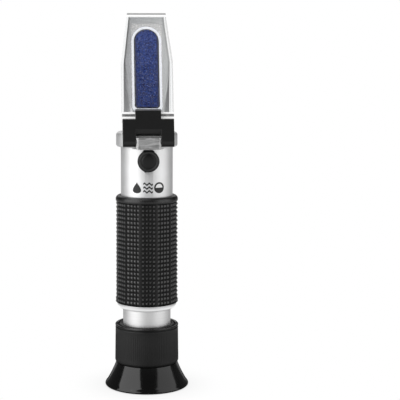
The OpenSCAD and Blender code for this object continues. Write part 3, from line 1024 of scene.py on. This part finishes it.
def carried_nodes():
    """Every CAD node that stays gets its material."""
    slots = {p["node"]: p["material_slot"] for p in frame["record"]["subparts"]}
    for node, obj in frame["nodes"].items():
        if obj.hide_render:
            continue
        material = MATS[slots[node]]
        if node == "neck_tube":
            material = MATS["turned_aluminium"]
        if not obj.material_slots:
            obj.data.materials.append(material)
        for place in obj.material_slots:
            place.material = material


grip()
sleeve()
eyecup()
mark()
cap()
plate()
prism()
cad_finish("hinge_bracket", "flap", "black_plastic", 0.18)
head()
cad_finish("prism_seal", "barrel", "white_sealant", 0.1)
cad_finish("main_tube", "barrel", "satin_aluminium", 0.1)
spring()
carried_nodes()

# ---------------------------------------------------------------- floor, light and camera


def seen_directly(s):
    """1 for what the camera sees straight or through glass, 0 for light and reflections."""
    path = s.add("ShaderNodeLightPath")
    bounces = s.math("ADD", path.outputs["Diffuse Depth"], path.outputs["Glossy Depth"])
    return s.math("LESS_THAN", bounces, 0.5)


def white_to_camera(s, thrown):
    """White where it is seen; elsewhere, a grey light of the given strength."""
    return s.mix(seen_directly(s), s.mix(thrown, (0, 0, 0), (1, 1, 1)), (1, 1, 1))


def surround():
    """The room: grey light from near the horizon in front, and little from above and behind."""
    world = bpy.data.worlds.new("studio")
    bpy.context.scene.world = world
    s = Shader.on_tree(world)
    _, y, z = s.split(s.add("ShaderNodeTexCoord").outputs["Generated"])
    front = s.remap(y, 0.1, -0.8)
    low = s.remap(z, 0.5, 0.1)
    fill = s.math("ADD", 0.07, s.math("MULTIPLY", s.math("MULTIPLY", front, low), 0.31))
    s.link(white_to_camera(s, fill), s.tree.nodes["Background"].inputs["Color"])


def pale_floor():
    """A white sweep with a faint shadow at the object. What it throws back is brightest on the left, where
    the main soft box stands, and dimmest behind the object and in its shadow."""
    s = Shader("pale_floor")
    near = s.add("ShaderNodeAmbientOcclusion", samples=12)
    near.inputs["Distance"].default_value = 0.02
    shade = s.remap(near.outputs["AO"], 0.3, 1.0, 0.8, 1.0)
    heading = s.add("ShaderNodeVectorMath", operation="NORMALIZE")
    s.link(s.where, heading.inputs[0])
    length = s.add("ShaderNodeVectorMath", operation="LENGTH")
    s.link(s.where, length.inputs[0])
    far_off = length.outputs["Value"]
    forward = s.math("MAXIMUM", s.math("MULTIPLY", s.split(heading.outputs[0])[1], -1.0), 0.0)
    front = s.math("POWER", forward, 2.0)
    thrown = s.math("ADD", 0.36, s.math("MULTIPLY", front, s.remap(far_off, 0.2, 0.7, 0.08, 0.4)))
    for azimuth, amount in ((-62, 0.68), (60, 0.42)):
        toward = s.add("ShaderNodeVectorMath", operation="DOT_PRODUCT")
        a = math.radians(azimuth)
        toward.inputs[1].default_value = (math.sin(a), -math.cos(a), 0)
        s.link(heading.outputs[0], toward.inputs[0])
        lobe = s.math("POWER", s.math("MAXIMUM", toward.outputs["Value"], 0.0), 3.0)
        thrown = s.math("ADD", thrown, s.math("MULTIPLY", lobe, amount))
    thrown = s.math("MULTIPLY", thrown, s.remap(far_off, 0.03, 0.1, 0.12, 1.0))
    path = s.add("ShaderNodeLightPath")
    thrown = s.math("MULTIPLY", thrown, s.remap(path.outputs["Is Diffuse Ray"], 0, 1, 1.0, 0.5))
    light = s.add("ShaderNodeEmission")
    s.link(white_to_camera(s, thrown), light.inputs["Color"])
    s.link(shade, light.inputs["Strength"])
    s.link(light.outputs[0], s.out.inputs["Surface"])
    return s.mat


def studio():
    """Pale floor and surround, with soft boxes to the left, the right, above and behind."""
    reach = 3000
    corners = [(-reach, -reach, 0), (reach, -reach, 0), (reach, reach, 0), (-reach, reach, 0)]
    floor = make_object("floor", corners, [(0, 1, 2, 3)], smooth=False)
    floor_gap = 0.2
    floor.location.z = cad_low.z - floor_gap * MM
    floor.data.materials.append(pale_floor())
    surround()
    middle = Vector((0, 0, 0.08))
    soft_box("left_box", middle, -63, 25, 0.9, (1.08, 1.0), 1.85)
    soft_box("right_box", middle, 67, 25, 0.9, (0.96, 1.0), 1.05)
    soft_box("top_box", middle, -100, 78, 0.8, (0.8, 0.7), 1.9)
    soft_box("back_box", middle, 180, 35, 1.0, (0.9, 0.8), 0.7)


def soft_box(name, target, azimuth, elevation, distance, size, radiance):
    """A rectangular light facing target. Azimuth 0 is in front of the object and 90 is on its right."""
    light = bpy.data.lights.new(name, "AREA")
    light.shape = "RECTANGLE"
    light.size, light.size_y = size
    light.energy = radiance * math.pi * size[0] * size[1]
    obj = bpy.data.objects.new(name, light)
    a, e = math.radians(azimuth), math.radians(elevation)
    offset = Vector((math.sin(a) * math.cos(e), -math.cos(a) * math.cos(e), math.sin(e))) * distance
    obj.location = target + offset
    obj.rotation_euler = offset.to_track_quat("Z", "Y").to_euler()
    bpy.context.scene.collection.objects.link(obj)


def camera():
    """The camera stands a little to the left of the front and looks slightly down."""
    distance, height = 0.54, 0.1558
    yaw, pitch = math.radians(-3.3), math.radians(8.654)
    data = bpy.data.cameras.new("camera")
    data.sensor_width = 36
    data.lens = 110.6
    data.shift_x = 0.133
    data.shift_y = 0.0565
    obj = bpy.data.objects.new("camera", data)
    obj.location = (distance * math.sin(yaw), -distance * math.cos(yaw), height)
    obj.rotation_euler = (math.radians(90) - pitch, 0, yaw)
    bpy.context.scene.collection.objects.link(obj)
    bpy.context.scene.camera = obj


studio()
camera()
bpy.context.scene.view_settings.view_transform = "Standard"
